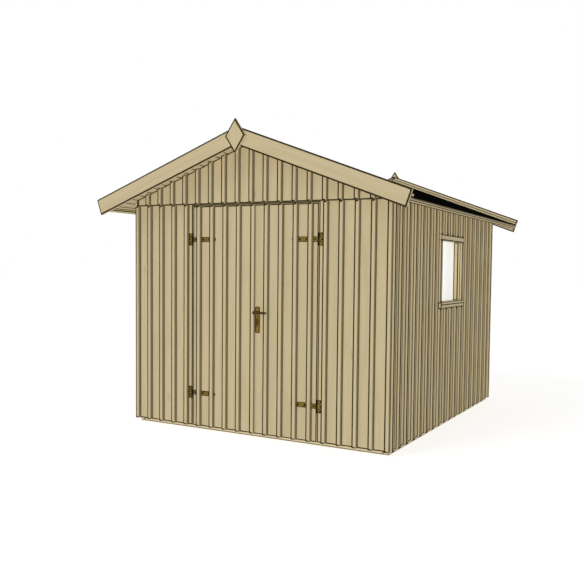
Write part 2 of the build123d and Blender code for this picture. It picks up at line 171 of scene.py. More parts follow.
def ramp_between(tree, value, low, high):
    """Smooth step of a value from 0 at low to 1 at high."""
    node = add(tree, "ShaderNodeMapRange", interpolation_type="SMOOTHSTEP")
    join(tree, value, node.inputs["Value"])
    node.inputs["From Min"].default_value = low
    node.inputs["From Max"].default_value = high
    return node.outputs["Result"]


def stretched(tree, vector, scale):
    """A place multiplied by a scale along each axis, which sets the size of the pattern drawn there."""
    node = add(tree, "ShaderNodeVectorMath", operation="MULTIPLY")
    join(tree, vector, node.inputs[0])
    node.inputs[1].default_value = scale
    return node.outputs[0]


def noise(tree, vector, detail=3.0, roughness=0.55):
    """Cloudy noise between 0 and 1."""
    node = add(tree, "ShaderNodeTexNoise")
    join(tree, vector, node.inputs["Vector"])
    node.inputs["Scale"].default_value = 1.0
    node.inputs["Detail"].default_value = detail
    node.inputs["Roughness"].default_value = roughness
    return node.outputs["Fac"]


def new_group(name, inputs, outputs):
    """An empty shader node group with named sockets; gives the tree, its inputs and its output node."""
    tree = bpy.data.node_groups.new(name, "ShaderNodeTree")
    for label, kind in inputs:
        tree.interface.new_socket(label, in_out="INPUT", socket_type=kind)
    for label, kind in outputs:
        tree.interface.new_socket(label, in_out="OUTPUT", socket_type=kind)
    return tree, tree.nodes.new("NodeGroupInput").outputs, tree.nodes.new("NodeGroupOutput").inputs


print("helpers for nodes are ready")

# %% [markdown]
# ## Softwood grain
#
# Sawn softwood is pale, with long fine streaks along the board, wider growth rings that drift
# slowly across it, and a few small knots. One node group draws all three on any board: it stretches
# noise along Z, so each material only has to turn the board's length onto Z first. It could be
# painted as an image, but a pattern in space covers every face of a piece, its ends too.

# %% Shader group for softwood
FLOAT = "NodeSocketFloat"
COLOR = "NodeSocketColor"
VECTOR = "NodeSocketVector"
WOOD_PALE = (0.548, 0.460, 0.280)
WOOD_DEEP = (0.465, 0.382, 0.222)
WOOD_KNOT = (0.280, 0.200, 0.100)
STREAK_SCALE = (170, 170, 3.2)
DRIFT_SCALE = (6.5, 6.5, 0.42)
KNOT_SCALE = (5.0, 5.0, 1.5)
RING_COUNT = 34.0
KNOT_SIZE = 0.085
KNOT_STRENGTH = 0.30
STREAK_SHARE = 0.55
RING_SHARE = 0.30
TONE_SPREAD = 0.06
TONE_LEAST = 0.97
ROUGHNESS_SPREAD = 0.22
ROUGHNESS_LEAST = 0.62

softwood, given, result = new_group(
    "softwood_grain",
    [("Vector", VECTOR), ("Board Tone", FLOAT)],
    [("Color", COLOR), ("Roughness", FLOAT), ("Height", FLOAT)],
)
along_streaks = stretched(softwood, given["Vector"], STREAK_SCALE)
streaks = noise(softwood, along_streaks, detail=4.0, roughness=0.65)
drift = noise(softwood, stretched(softwood, given["Vector"], DRIFT_SCALE), detail=1.5)
rings = arithmetic(softwood, "SINE", arithmetic(softwood, "MULTIPLY", drift, RING_COUNT))
rings = ramp_between(softwood, rings, -0.2, 1.0)
knot_cells = add(softwood, "ShaderNodeTexVoronoi", feature="F1")
join(softwood, stretched(softwood, given["Vector"], KNOT_SCALE), knot_cells.inputs["Vector"])
knot_cells.inputs["Scale"].default_value = 1.0
knots = ramp_between(softwood, knot_cells.outputs["Distance"], KNOT_SIZE, KNOT_SIZE * 0.35)
figure = arithmetic(softwood, "ADD", arithmetic(softwood, "MULTIPLY", streaks, STREAK_SHARE),
                    arithmetic(softwood, "MULTIPLY", rings, RING_SHARE), clamp=True)
wood = blend_colors(softwood, figure, WOOD_PALE, WOOD_DEEP)
wood = blend_colors(softwood, arithmetic(softwood, "MULTIPLY", knots, KNOT_STRENGTH), wood, WOOD_KNOT)
tone = scaled_and_raised(softwood, given["Board Tone"], TONE_SPREAD, TONE_LEAST)
tone_color = add(softwood, "ShaderNodeCombineColor")
for channel in range(3):
    join(softwood, tone, tone_color.inputs[channel])
join(softwood, blend_colors(softwood, 1.0, wood, tone_color.outputs[0], "MULTIPLY"), result["Color"])
rough = scaled_and_raised(softwood, streaks, ROUGHNESS_SPREAD, ROUGHNESS_LEAST)
join(softwood, rough, result["Roughness"])
join(softwood, figure, result["Height"])
print("softwood group has", len(softwood.nodes), "nodes")

# %% [markdown]
# ## Dark joints and painted shade
#
# Shade is painted as a dark band on the boards beside each batten, where it meets the boards behind
# it, and a dark joint lies where two boards meet. Both are lines at a regular spacing, so one group
# folds a coordinate by that spacing and gives a mask of the lines. The line has a hard middle and a
# soft edge, broken up a little by noise so that it doesn't look drawn with a ruler.

# %% Shader group for joints and painted shade
RAGGED_SCALE = (60, 60, 9)
RAGGED_DEPTH = 0.001
LINE_SOFTNESS = 0.0015

joints, given, result = new_group(
    "board_joints_and_shade",
    [
        ("Coordinate", FLOAT),
        ("Pitch", FLOAT),
        ("Center", FLOAT),
        ("Half Width", FLOAT),
        ("Vector", VECTOR),
    ],
    [("Mask", FLOAT), ("Board Tone", FLOAT)],
)
from_center = arithmetic(joints, "SUBTRACT", given["Coordinate"], given["Center"])
half_pitch = arithmetic(joints, "MULTIPLY", given["Pitch"], 0.5)
distance = arithmetic(joints, "PINGPONG", from_center, half_pitch)
ragged = noise(joints, stretched(joints, given["Vector"], RAGGED_SCALE))
ragged_reach = arithmetic(joints, "MULTIPLY", ragged, RAGGED_DEPTH)
reach = arithmetic(joints, "ADD", given["Half Width"], ragged_reach)
edge = arithmetic(joints, "SUBTRACT", distance, reach)
join(joints, ramp_between(joints, edge, LINE_SOFTNESS, -LINE_SOFTNESS), result["Mask"])
board_number = arithmetic(joints, "FLOOR", arithmetic(joints, "DIVIDE", from_center, given["Pitch"]))
board_chance = add(joints, "ShaderNodeTexWhiteNoise", noise_dimensions="1D")
join(joints, board_number, board_chance.inputs["W"])
join(joints, board_chance.outputs["Value"], result["Board Tone"])
print("joint group has", len(joints.nodes), "nodes")

# %% [markdown]
# ## Timber finishes
#
# A timber material turns the grain along its pieces, picks a tone for each board, darkens its
# joints, paints shade beside the battens of the cladding and adds a little bump. The long axis is a
# choice: upright for cladding, along Y for roof boards, along X for ties, and down the slope for the
# bargeboards. Both slopes share one material, because folding X at the ridge makes the left slope a
# mirror image of the right one.

# %% Timber materials
JOINT_AND_SHADE_COLOR = (0.055, 0.043, 0.022)
# Near black for the dark lines on bevels and rims; mixed in part it is the painted shade.
EDGE_AND_SHADE_COLOR = (0.034, 0.025, 0.010)
# A pale colour mixed into the base timbers as painted light.
PAINTED_LIGHT_COLOR = (0.90, 0.78, 0.54)
JOINT_AND_SHADE_STRENGTH = 0.92
BUMP_STRENGTH = 0.35
BUMP_DEPTH = 0.0012
TURN_TO_GRAIN = {
    "upright": (0, 0, 0),
    "along_x": (0, math.radians(90), 0),
    "along_y": (math.radians(90), 0, 0),
    "down_slope": (0, math.radians(90) - ROOF_ANGLE, 0),
}


def principled(name, **values):
    """A new material; values are written on the Principled sockets, with spaces for underscores."""
    material = bpy.data.materials.new(name)
    material.use_nodes = True
    tree = material.node_tree
    shader = tree.nodes["Principled BSDF"]
    for label, value in values.items():
        shader.inputs[label.replace("_", " ")].default_value = value
    return material, tree, shader


def bump_from(tree, shader, height, strength, depth):
    """A Bump node on the shader's Normal; depth is in metres."""
    node = add(tree, "ShaderNodeBump")
    node.inputs["Strength"].default_value = strength
    node.inputs["Distance"].default_value = depth
    join(tree, height, node.inputs["Height"])
    join(tree, node.outputs["Normal"], shader.inputs["Normal"])


def timber(name, grain, joint_and_shade_axis=None, pitch=BATTEN_PITCH, center=0.0, half_width=0.0,
           tint=EDGE_AND_SHADE_COLOR, tint_amount=0.0, gloss=0.12):
    """Softwood with its grain one way; the joint axis names the coordinate that its joints and the painted shade
    beside the battens repeat along.
    """
    material, tree, shader = principled(name, Specular_IOR_Level=gloss)
    place = add(tree, "ShaderNodeTexCoord").outputs["Object"]
    axes = add(tree, "ShaderNodeSeparateXYZ")
    join(tree, place, axes.inputs[0])
    folded = add(tree, "ShaderNodeCombineXYZ")
    join(tree, arithmetic(tree, "ABSOLUTE", axes.outputs["X"]), folded.inputs["X"])
    join(tree, axes.outputs["Y"], folded.inputs["Y"])
    join(tree, axes.outputs["Z"], folded.inputs["Z"])
    along_grain = add(tree, "ShaderNodeMapping", vector_type="POINT")
    along_grain.inputs["Rotation"].default_value = TURN_TO_GRAIN[grain]
    join(tree, folded.outputs[0] if grain == "down_slope" else place, along_grain.inputs["Vector"])
    figure_node = add(tree, "ShaderNodeGroup", node_tree=softwood)
    join(tree, along_grain.outputs[0], figure_node.inputs["Vector"])
    color = figure_node.outputs["Color"]
    if joint_and_shade_axis:
        lines = add(tree, "ShaderNodeGroup", node_tree=joints)
        join(tree, axes.outputs[joint_and_shade_axis], lines.inputs["Coordinate"])
        join(tree, place, lines.inputs["Vector"])
        lines.inputs["Pitch"].default_value = pitch
        lines.inputs["Center"].default_value = center
        lines.inputs["Half Width"].default_value = half_width
        join(tree, lines.outputs["Board Tone"], figure_node.inputs["Board Tone"])
        # The mask darkens the joints between boards and paints shade beside the battens.
        shade = arithmetic(tree, "MULTIPLY", lines.outputs["Mask"], JOINT_AND_SHADE_STRENGTH)
        color = blend_colors(tree, shade, color, JOINT_AND_SHADE_COLOR)
    else:
        figure_node.inputs["Board Tone"].default_value = 0.5
    if tint_amount:
        color = blend_colors(tree, tint_amount, color, tint)
    join(tree, color, shader.inputs["Base Color"])
    join(tree, figure_node.outputs["Roughness"], shader.inputs["Roughness"])
    bump_from(tree, shader, figure_node.outputs["Height"], BUMP_STRENGTH, BUMP_DEPTH)
    return material


# Painted shade: dark bands on the boards beside each batten, wider on the side walls.
batten_shadow = BATTEN_WIDTH / 2 + JOINT_SHADOW
at_battens = first_batten_center
between_battens = first_batten_center + BATTEN_PITCH / 2
side_shadow = batten_shadow + SIDE_SHADOW
cladding_x = timber("cladding_front", "upright", "X", center=at_battens, half_width=batten_shadow)
cladding_y = timber("cladding_side", "upright", "Y", center=at_battens, half_width=side_shadow)
inside_x = timber("inside_front", "upright", "X", center=at_battens, half_width=INSIDE_JOINT)
inside_y = timber("inside_side", "upright", "Y", center=at_battens, half_width=INSIDE_JOINT)
upright_x = timber("upright_timber_front", "upright", "X", center=between_battens)
upright_y = timber("upright_timber_side", "upright", "Y", center=between_battens)
slope_timber = timber("slope_timber", "down_slope")
cross_timber = timber("cross_timber", "along_x")
long_timber = timber("long_timber", "along_y")
# Paler copies for the base timbers: painted light that offsets the shade they sit in under the walls.
painted_light_cross = timber("painted_light_cross_timber", "along_x", tint=PAINTED_LIGHT_COLOR, tint_amount=0.45)
painted_light_long = timber("painted_light_long_timber", "along_y", tint=PAINTED_LIGHT_COLOR, tint_amount=0.45)
# The dark colour painted on bevels and rims, as a line round each timber.
arris_timber = timber("dark_arris", "upright", tint_amount=1.0, gloss=0.0)
# Painted shade: a darker copy of the timber for the sides and right bevels of battens and the edges of the base
# timbers.
shaded_timber = timber("shaded_edges", "upright", tint_amount=0.55, gloss=0.0)
print("materials so far:", [material.name for material in bpy.data.materials])

# %% [markdown]
# ## Eased edges
#
# Every timber in the picture has a thin dark line round it. Here that line is a dark colour painted
# on the arrises, the sharp edges of a board. Each timber that shows gets a twin: a copy whose loose
# triangles are merged back into flat faces, with every edge bevelled. The bevels and a narrow rim
# beside them take the second material, the dark one.
#
# Narrow faces, such as the sides of the battens, take a third material instead of a rim, and so do
# the inner faces of the cladding, which have fine joints but no batten shadows. On the battens that
# third material is painted shade, a darker copy of the timber. In the picture the battens have a
# dark line on their left side only, so on their right side the front battens take the painted shade
# on the bevel and no rim.


# %% Helpers for twins
FACE_SLOT, EDGE_SLOT, NARROW_SLOT = 0, 1, 2
MERGE_DISTANCE = 1e-5
FLAT_ANGLE = math.radians(0.5)
SHARP_ANGLE = math.radians(12)
SAME_PLANE = 0.9999
SHORTEST_BORDER = 1e-6
NARROW_FACE = 0.0195
RIMS_ACROSS = 2.6
SIDEWAYS = 0.3
OUTWARD = {cladding_x: Vector((0, 1, 0)), cladding_y: Vector((1, 0, 0))}


def link(name, mesh, body, slot, *nodes):
    """Puts a mesh in the scene as a piece that rides on a body and stands for the named nodes."""
    piece = bpy.data.objects.new(name, mesh)
    bpy.context.collection.objects.link(piece)
    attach(piece, body)
    if nodes:
        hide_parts(*nodes)
    return piece


def body_of_node(node):
    """The moving body that a node of the frame belongs to."""
    bodies = frame["record"]["behaviour"]["bodies"]
    return next(body for body, members in bodies.items() if node in members)


def flat_regions(faces):
    """Groups faces that lie in one plane side by side; gives each group with its mean width."""
    left = set(faces)
    while left:
        region, front = set(), {left.pop()}
        while front:
            face = front.pop()
            region.add(face)
            beside = {other for edge in face.edges for other in edge.link_faces if other in left}
            level = {other for other in beside if other.normal.dot(face.normal) > SAME_PLANE}
            left -= level
            front |= level
        border = sum(edge.calc_length() for face in region for edge in face.edges
                     if any(other not in region for other in edge.link_faces))
        yield region, 2 * sum(face.calc_area() for face in region) / max(border, SHORTEST_BORDER)


# %% [markdown]
# ## Making one twin
#
# The bevel comes first, then the faces are sorted by the width of their flat region. Wide regions
# get a rim by insetting their border, and narrow ones take the third material whole where the piece
# has one.


# %% The function that makes a twin
def ease_edges(node, face_material, rim=RIM, width=ARRIS, edge_material=arris_timber, finish="timber",
               narrow_material=None, shade_right=False):
    """A node's twin: merged faces, bevelled edges, and a dark colour on the bevels and the rims beside them."""
    shape = bmesh.new()
    shape.from_mesh(frame["nodes"][node].data)
    bmesh.ops.remove_doubles(shape, verts=shape.verts, dist=MERGE_DISTANCE)
    bmesh.ops.dissolve_limit(shape, angle_limit=FLAT_ANGLE, verts=shape.verts, edges=shape.edges)
    edges = [edge for edge in shape.edges if edge.is_manifold and edge.calc_face_angle(0) > SHARP_ANGLE]
    bmesh.ops.bevel(shape, geom=edges, offset=width, segments=1, profile=0.5, affect="EDGES",
                    material=EDGE_SLOT, clamp_overlap=True)
    # Bevels facing right take the painted shade instead of the dark line.
    if shade_right:
        for face in shape.faces:
            if face.material_index == EDGE_SLOT and face.normal.x > SIDEWAYS:
                face.material_index = NARROW_SLOT
    wide = []
    plain_faces = (face for face in shape.faces if face.material_index == FACE_SLOT)
    for region, mean_width in flat_regions(plain_faces):
        if mean_width > min(NARROW_FACE, RIMS_ACROSS * rim):
            wide.extend(region)
        elif narrow_material:
            for face in region:
                face.material_index = NARROW_SLOT
    rims = bmesh.ops.inset_region(shape, faces=wide, thickness=rim, use_even_offset=True,
                                  use_boundary=True)
    for face in rims["faces"]:
        beside = (other for edge in face.edges for other in edge.link_faces)
        beside_shade = any(other.material_index == NARROW_SLOT for other in beside)
        face.material_index = FACE_SLOT if shade_right and beside_shade else EDGE_SLOT
    if face_material in OUTWARD:
        low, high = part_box(node)
        outward = OUTWARD[face_material]
        if outward.dot(low + high) <= 0:
            outward = -outward
        for face in wide:
            if face.normal.dot(outward) < 0.5:
                face.material_index = NARROW_SLOT
    mesh = bpy.data.meshes.new(node + "_eased")
    shape.to_mesh(mesh)
    shape.free()
    mesh.materials.append(face_material)
    mesh.materials.append(edge_material)
    mesh.materials.append(narrow_material or edge_material)
    return link(node + "_eased", mesh, body_of_node(node), finish, node)


print("a rim is", RIM * 1000, "mm wide unless a piece has its own")

# %% [markdown]
# ## Which pieces get twins
#
# The table of rims gives a piece its own width of line where the picture shows a bolder or a finer
# one. The last table sorts the pieces by the way their grain runs, and the loop makes every twin.

# %% Make the timber twins
WIDE_RIM = 0.010
SIDE_BATTEN_RIM = 0.011
FRONT_BATTEN_RIM = 0.0098
THIN_RIM = 0.0035
RIMS = {
    "front_bargeboards": WIDE_RIM,
    "back_bargeboards": WIDE_RIM,
    "left_battens": SIDE_BATTEN_RIM,
    "right_battens": SIDE_BATTEN_RIM,
    "front_battens": FRONT_BATTEN_RIM,
    "gable_battens": FRONT_BATTEN_RIM,
    "left_door_battens": FRONT_BATTEN_RIM,
    "right_door_battens": FRONT_BATTEN_RIM,
    "eave_battens": THIN_RIM,
    "verge_battens": THIN_RIM,
    "side_bearers": 0.004,
    "window_casings": 0.0055,
    "window_frames": 0.0060,
}
# The base timbers take the painted shade on their edges; battens take it on their narrow sides.
EDGES = {"side_bearers": shaded_timber, "cross_joists": shaded_timber}
NARROW = {cladding_x: inside_x, cladding_y: inside_y, upright_x: shaded_timber}
EASED = {
    cladding_x: "front_wall_left front_wall_right front_gable back_wall back_gable left_door_boards "
                "right_door_boards",
    cladding_y: "left_wall right_wall",
    upright_x: "front_battens gable_battens back_battens left_door_battens right_door_battens "
               "door_posts",
    upright_y: "left_battens right_battens window_frames wall_studs",
    slope_timber: "front_bargeboards back_bargeboards verge_battens left_rafters right_rafters",
    cross_timber: "door_header left_door_ledges right_door_ledges",
    painted_light_cross: "cross_joists",
    painted_light_long: "side_bearers",
    long_timber: "window_casings wall_plates ridge_beam eave_battens",
}
for material, names in EASED.items():
    for name in names.split():
        ease_edges(name, material, rim=RIMS.get(name, RIM), narrow_material=NARROW.get(material),
                   shade_right=material is upright_x, edge_material=EDGES.get(name, arris_timber))
ease_edges("finials", upright_x, rim=WIDE_RIM)
print("twins made:", sum(len(names.split()) for names in EASED.values()) + 1)

# %% [markdown]
# ## Boards in rows
#
# The roof and the floor are laid with tongue-and-groove boards. Seen from below, every joint is a
# small V between two chamfered edges. Geometry Nodes build a row: a filleted rectangle swept along
# a line makes one board, and instances of it along a mesh line make the row, which is then realized
# so that the mesh is plain.

# %% Geometry Nodes for a row of boards
ROOF_BOARD_COVER = 0.0886
ROOF_CHAMFER = 0.0035
BOARD_GAP = 0.0015
GEOMETRY = "NodeSocketGeometry"



def geometry_tree(name, inputs):
    """An empty Geometry Nodes tree with named inputs and one output; gives the tree and its inputs."""
    tree = bpy.data.node_groups.new(name, "GeometryNodeTree")
    for label, kind in inputs:
        tree.interface.new_socket(label, in_out="INPUT", socket_type=kind)
    tree.interface.new_socket("Geometry", in_out="OUTPUT", socket_type=GEOMETRY)
    return tree, tree.nodes.new("NodeGroupInput").outputs


def realize_and_paint(tree, copies, material):
    """Turns instances into plain mesh with one material, and sends it to the output."""
    plain = add(tree, "GeometryNodeRealizeInstances")
    join(tree, copies.outputs[0], plain.inputs[0])
    painted = add(tree, "GeometryNodeSetMaterial")
    join(tree, plain.outputs[0], painted.inputs["Geometry"])
    join(tree, material, painted.inputs["Material"])
    join(tree, painted.outputs[0], tree.nodes.new("NodeGroupOutput").inputs[0])


board_row, sizes = geometry_tree("board_row", (
    ("Count", "NodeSocketInt"),
    ("Cover", FLOAT),
    ("Gap", FLOAT),
    ("Thickness", FLOAT),
    ("Length", FLOAT),
    ("Chamfer", FLOAT),
    ("Material", "NodeSocketMaterial"),
))
outline = add(board_row, "GeometryNodeCurvePrimitiveQuadrilateral")
board_width = arithmetic(board_row, "SUBTRACT", sizes["Cover"], sizes["Gap"])
join(board_row, board_width, outline.inputs["Width"])
join(board_row, sizes["Thickness"], outline.inputs["Height"])
chamfered = add(board_row, "GeometryNodeFilletCurve")
join(board_row, outline.outputs[0], chamfered.inputs["Curve"])
join(board_row, sizes["Chamfer"], chamfered.inputs["Radius"])
path = add(board_row, "GeometryNodeCurvePrimitiveLine")
path_end = add(board_row, "ShaderNodeCombineXYZ")
join(board_row, sizes["Length"], path_end.inputs["Y"])
join(board_row, path_end.outputs[0], path.inputs["End"])
board = add(board_row, "GeometryNodeCurveToMesh")
join(board_row, path.outputs[0], board.inputs["Curve"])
join(board_row, chamfered.outputs[0], board.inputs["Profile Curve"])
board.inputs["Fill Caps"].default_value = True
places = add(board_row, "GeometryNodeMeshLine")
join(board_row, sizes["Count"], places.inputs["Count"])
step = add(board_row, "ShaderNodeCombineXYZ")
join(board_row, sizes["Cover"], step.inputs["X"])
join(board_row, step.outputs[0], places.inputs["Offset"])
copies = add(board_row, "GeometryNodeInstanceOnPoints")
join(board_row, places.outputs[0], copies.inputs["Points"])
join(board_row, board.outputs[0], copies.inputs["Instance"])
realize_and_paint(board_row, copies, sizes["Material"])


def grown(tree, values, placing, start=None):
    """Runs a Geometry Nodes tree with named inputs and gives a plain mesh, moved by a matrix."""
    mesh = start or bpy.data.meshes.new(tree.name)
    holder = bpy.data.objects.new(tree.name, mesh)
    bpy.context.collection.objects.link(holder)
    modifier = holder.modifiers.new(tree.name, "NODES")
    modifier.node_group = tree
    for item in tree.interface.items_tree:
        if item.in_out == "INPUT" and item.name in values:
            modifier[item.identifier] = values[item.name]
    bpy.context.view_layer.update()
    made = bpy.data.meshes.new_from_object(holder.evaluated_get(bpy.context.evaluated_depsgraph_get()))
    holder.modifiers.remove(modifier)
    bpy.data.objects.remove(holder)
    made.transform(placing)
    return made


print("board row has", len(board_row.nodes), "nodes")

# %% [markdown]
# ## Roof boards
#
# The boards run parallel to the ridge, in the layer that the frame keeps for them under the felt.
# The row is laid flat first, then turned to the slope and moved so that its first board starts at
# the ridge. The left slope is a turn of the right one about the upright axis, which keeps every
# face pointing outwards.

# %% Lay the roof boards
roof_low, roof_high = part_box("right_roof_boards")
ROOF_BOARD_THICKNESS = 0.018
SOFFIT_JOINT = 0.004
slope_length = roof_high.x / math.cos(ROOF_ANGLE)
slope_boards = int(slope_length / ROOF_BOARD_COVER)
board_cover = slope_length / slope_boards
level_cover = board_cover * math.cos(ROOF_ANGLE)
soffit_timber = timber("soffit_boards", "along_y", "X", pitch=level_cover, half_width=SOFFIT_JOINT)
row_values = {
    "Count": slope_boards,
    "Cover": board_cover,
    "Gap": BOARD_GAP,
    "Thickness": ROOF_BOARD_THICKNESS,
    "Length": roof_high.y - roof_low.y,
    "Chamfer": ROOF_CHAMFER,
    "Material": soffit_timber,
}
half_board = ROOF_BOARD_THICKNESS / 2
lay_flat = Matrix.Translation((board_cover / 2, roof_low.y, -half_board))
tip = Matrix.Translation((0, 0, roof_high.z)) @ Matrix.Rotation(ROOF_ANGLE, 4, "Y")
right_boards = grown(board_row, row_values, tip @ lay_flat)
left_boards = right_boards.copy()
left_boards.transform(Matrix.Rotation(math.pi, 4, "Z"))
link("right_roof_board_row", right_boards, "shed", "timber", "right_roof_boards")
link("left_roof_board_row", left_boards, "shed", "timber", "left_roof_boards")
print("boards on each slope:", slope_boards, "of", round(board_cover * 1000, 1), "mm")

# %% [markdown]
# ## Floor boards
#
# The floor is the same kind of board, laid across the joists from front to back. It shows when the
# doors are open.

# %% Lay the floor boards
floor_low, floor_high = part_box("floor_boards")
FLOOR_BOARD_COVER = 0.112
FLOOR_CHAMFER = 0.002
floor_count = int((floor_high.x - floor_low.x) / FLOOR_BOARD_COVER)
floor_cover = (floor_high.x - floor_low.x) / floor_count
floor_thickness = floor_high.z - floor_low.z
row_values.update({
    "Count": floor_count,
    "Cover": floor_cover,
    "Thickness": floor_thickness,
    "Length": floor_high.y - floor_low.y,
    "Chamfer": FLOOR_CHAMFER,
})
first_board = (floor_low.x + floor_cover / 2, floor_low.y, floor_low.z + floor_thickness / 2)
floor_row = grown(board_row, row_values, Matrix.Translation(first_board))
link("floor_board_row", floor_row, "shed", "timber", "floor_boards")
print("floor boards:", floor_count, "of", round(floor_cover * 1000, 1), "mm")

# %% [markdown]
# ## Roofing felt
#
# Mineral felt is black bitumen with fine grit pressed into it. It lies in strips across the slope,
# each lapping the one below, so the material has a faint line at each lap and a speckle of grit in
# colour, roughness and bump.

# %% Felt
FELT_STRIP = 0.80
LAP_HALF_WIDTH = 0.002
GRIT_SCALE = (900, 900, 900)
PATCH_SCALE = (3, 3, 3)
PATCH_STRENGTH = 0.35
FELT_BLACK = (0.0020, 0.0020, 0.0022)
FELT_GRIT = (0.012, 0.012, 0.011)
FELT_WORN = (0.007, 0.007, 0.006)
FELT_LAP = (0.001, 0.001, 0.001)

felt, tree, shader = principled("black_mineral_felt", Specular_IOR_Level=0.0)
place = add(tree, "ShaderNodeTexCoord").outputs["Object"]
axes = add(tree, "ShaderNodeSeparateXYZ")
join(tree, place, axes.inputs[0])
grit = noise(tree, stretched(tree, place, GRIT_SCALE), detail=2.0, roughness=0.7)
patches = noise(tree, stretched(tree, place, PATCH_SCALE), detail=4.0)
laps = add(tree, "ShaderNodeGroup", node_tree=joints)
join(tree, arithmetic(tree, "ABSOLUTE", axes.outputs["X"]), laps.inputs["Coordinate"])
join(tree, place, laps.inputs["Vector"])
laps.inputs["Pitch"].default_value = FELT_STRIP * math.cos(ROOF_ANGLE)
laps.inputs["Half Width"].default_value = LAP_HALF_WIDTH
speckle = blend_colors(tree, ramp_between(tree, grit, 0.52, 0.75), FELT_BLACK, FELT_GRIT)
worn = blend_colors(tree, arithmetic(tree, "MULTIPLY", patches, PATCH_STRENGTH), speckle, FELT_WORN)
join(tree, blend_colors(tree, laps.outputs["Mask"], worn, FELT_LAP), shader.inputs["Base Color"])
join(tree, scaled_and_raised(tree, grit, 0.2, 0.78), shader.inputs["Roughness"])
bump_from(tree, shader, grit, 0.5, 0.0008)


def finish_node(node, material):
    """Gives a node of the frame its material, and leaves its shape alone."""
    slots = frame["nodes"][node].data.materials
    slots.clear()
    slots.append(material)


finish_node("roof_felt", felt)
print("felt strips on each slope:", math.ceil(slope_length / FELT_STRIP))

# %% [markdown]
# ## Panes and metal
#
# The panes are white opal sheet: smooth, with a very faint cloudiness, and a weak light of their
# own that keeps them as white as the picture shows them. The hinges and the handle are brass that
# has gone dark in blotches, and the edges of the plates, the pins and the knuckles are near black.
# The black rims on the plates beside the knuckles are painted shade.

# %% Panes and metal materials
PANE_LIGHT = 0.22
PANE_WHITE = (0.99, 0.99, 0.99)
PANE_CLOUD = (0.95, 0.953, 0.957)
CLOUD_SCALE = (5, 5, 5)
TARNISH_SCALE = (38, 38, 38)
SCRATCH_SCALE = (40, 40, 900)
PLATE_RIM = 0.0055
PLATE_BEVEL = 0.0006

opal, tree, shader = principled("opal_sheet", Specular_IOR_Level=0.5, Emission_Strength=PANE_LIGHT)
place = add(tree, "ShaderNodeTexCoord").outputs["Object"]
cloud = noise(tree, stretched(tree, place, CLOUD_SCALE), detail=3.0)
pane_color = blend_colors(tree, cloud, PANE_WHITE, PANE_CLOUD)
join(tree, pane_color, shader.inputs["Base Color"])
join(tree, scaled_and_raised(tree, cloud, 0.12, 0.12), shader.inputs["Roughness"])
finish_node("window_panes", opal)


def metal(name, bright, dark, roughness):
    """Tarnished metal; the colour goes from bright to dark in blotches, over fine upright scratches."""
    material, tree, shader = principled(name, Metallic=1.0)
    place = add(tree, "ShaderNodeTexCoord").outputs["Object"]
    tarnish = noise(tree, stretched(tree, place, TARNISH_SCALE), detail=5.0, roughness=0.6)
    scratches = noise(tree, stretched(tree, place, SCRATCH_SCALE), detail=2.0)
    mask = ramp_between(tree, tarnish, 0.35, 0.68)
    join(tree, blend_colors(tree, mask, bright, dark), shader.inputs["Base Color"])
    join(tree, scaled_and_raised(tree, tarnish, 0.3, roughness), shader.inputs["Roughness"])
    bump_from(tree, shader, scratches, 0.15, 0.0003)
    return material


brass = metal("dark_brass", (0.200, 0.130, 0.030), (0.085, 0.054, 0.012), 0.35)
old_brass = metal("old_brass", (0.070, 0.048, 0.012), (0.026, 0.018, 0.006), 0.35)
dark_metal_and_shade = metal("dark_steel_and_shade", (0.010, 0.008, 0.004), (0.004, 0.003, 0.002), 0.45)
# Near black rims and narrow faces on the plates; beside the knuckles they are painted shade.
for name in ("hinge_butts", "left_door_straps", "right_door_straps", "handle_plates"):
    ease_edges(name, brass, rim=PLATE_RIM, width=PLATE_BEVEL, edge_material=dark_metal_and_shade,
               finish="dark_brass", narrow_material=dark_metal_and_shade)
finish_node("lever_handle", old_brass)
print("metals:", brass.name, old_brass.name, dark_metal_and_shade.name)

# %% [markdown]
# ## Screws
#
# Each hinge plate and strap is held by dark screws. A tiny Geometry Nodes tree puts one low round
# head on every point that it is given. A head is a cylinder of twelve sides, which is enough at
# this size.

# %% Geometry Nodes for round heads
HEAD_SIDES = 12
round_heads, sizes = geometry_tree("round_heads", (
    ("Points", GEOMETRY),
    ("Radius", FLOAT),
    ("Height", FLOAT),
    ("Turn", "NodeSocketRotation"),
    ("Material", "NodeSocketMaterial"),
))
head = add(round_heads, "GeometryNodeMeshCylinder")
head.inputs["Vertices"].default_value = HEAD_SIDES
join(round_heads, sizes["Radius"], head.inputs["Radius"])
join(round_heads, sizes["Height"], head.inputs["Depth"])
copies = add(round_heads, "GeometryNodeInstanceOnPoints")
join(round_heads, sizes["Points"], copies.inputs["Points"])
join(round_heads, head.outputs["Mesh"], copies.inputs["Instance"])
join(round_heads, sizes["Turn"], copies.inputs["Rotation"])
realize_and_paint(round_heads, copies, sizes["Material"])


FACING_FRONT = (math.radians(90), 0, 0)
SCREW_RADIUS = 0.0060
SCREW_HEIGHT = 0.002


def screws_at(points):
    """One joined mesh of screw heads, facing the front."""
    centers = bpy.data.meshes.new("points")
    centers.from_pydata(points, [], [])
    values = {
        "Radius": SCREW_RADIUS,
        "Height": SCREW_HEIGHT,
        "Turn": FACING_FRONT,
        "Material": dark_metal_and_shade,
    }
    return grown(round_heads, values, Matrix.Identity(4), start=centers)


print("a screw head is", 2000 * SCREW_RADIUS, "mm across")

# %% [markdown]
# ## Where the screws go
#
# The plates on the wall have five screws each, and the straps have four in a row. The screws of a
# strap ride on its door, so they turn with it. Places across are measured from the hinge axis, and
# heights from the ends of the plates.

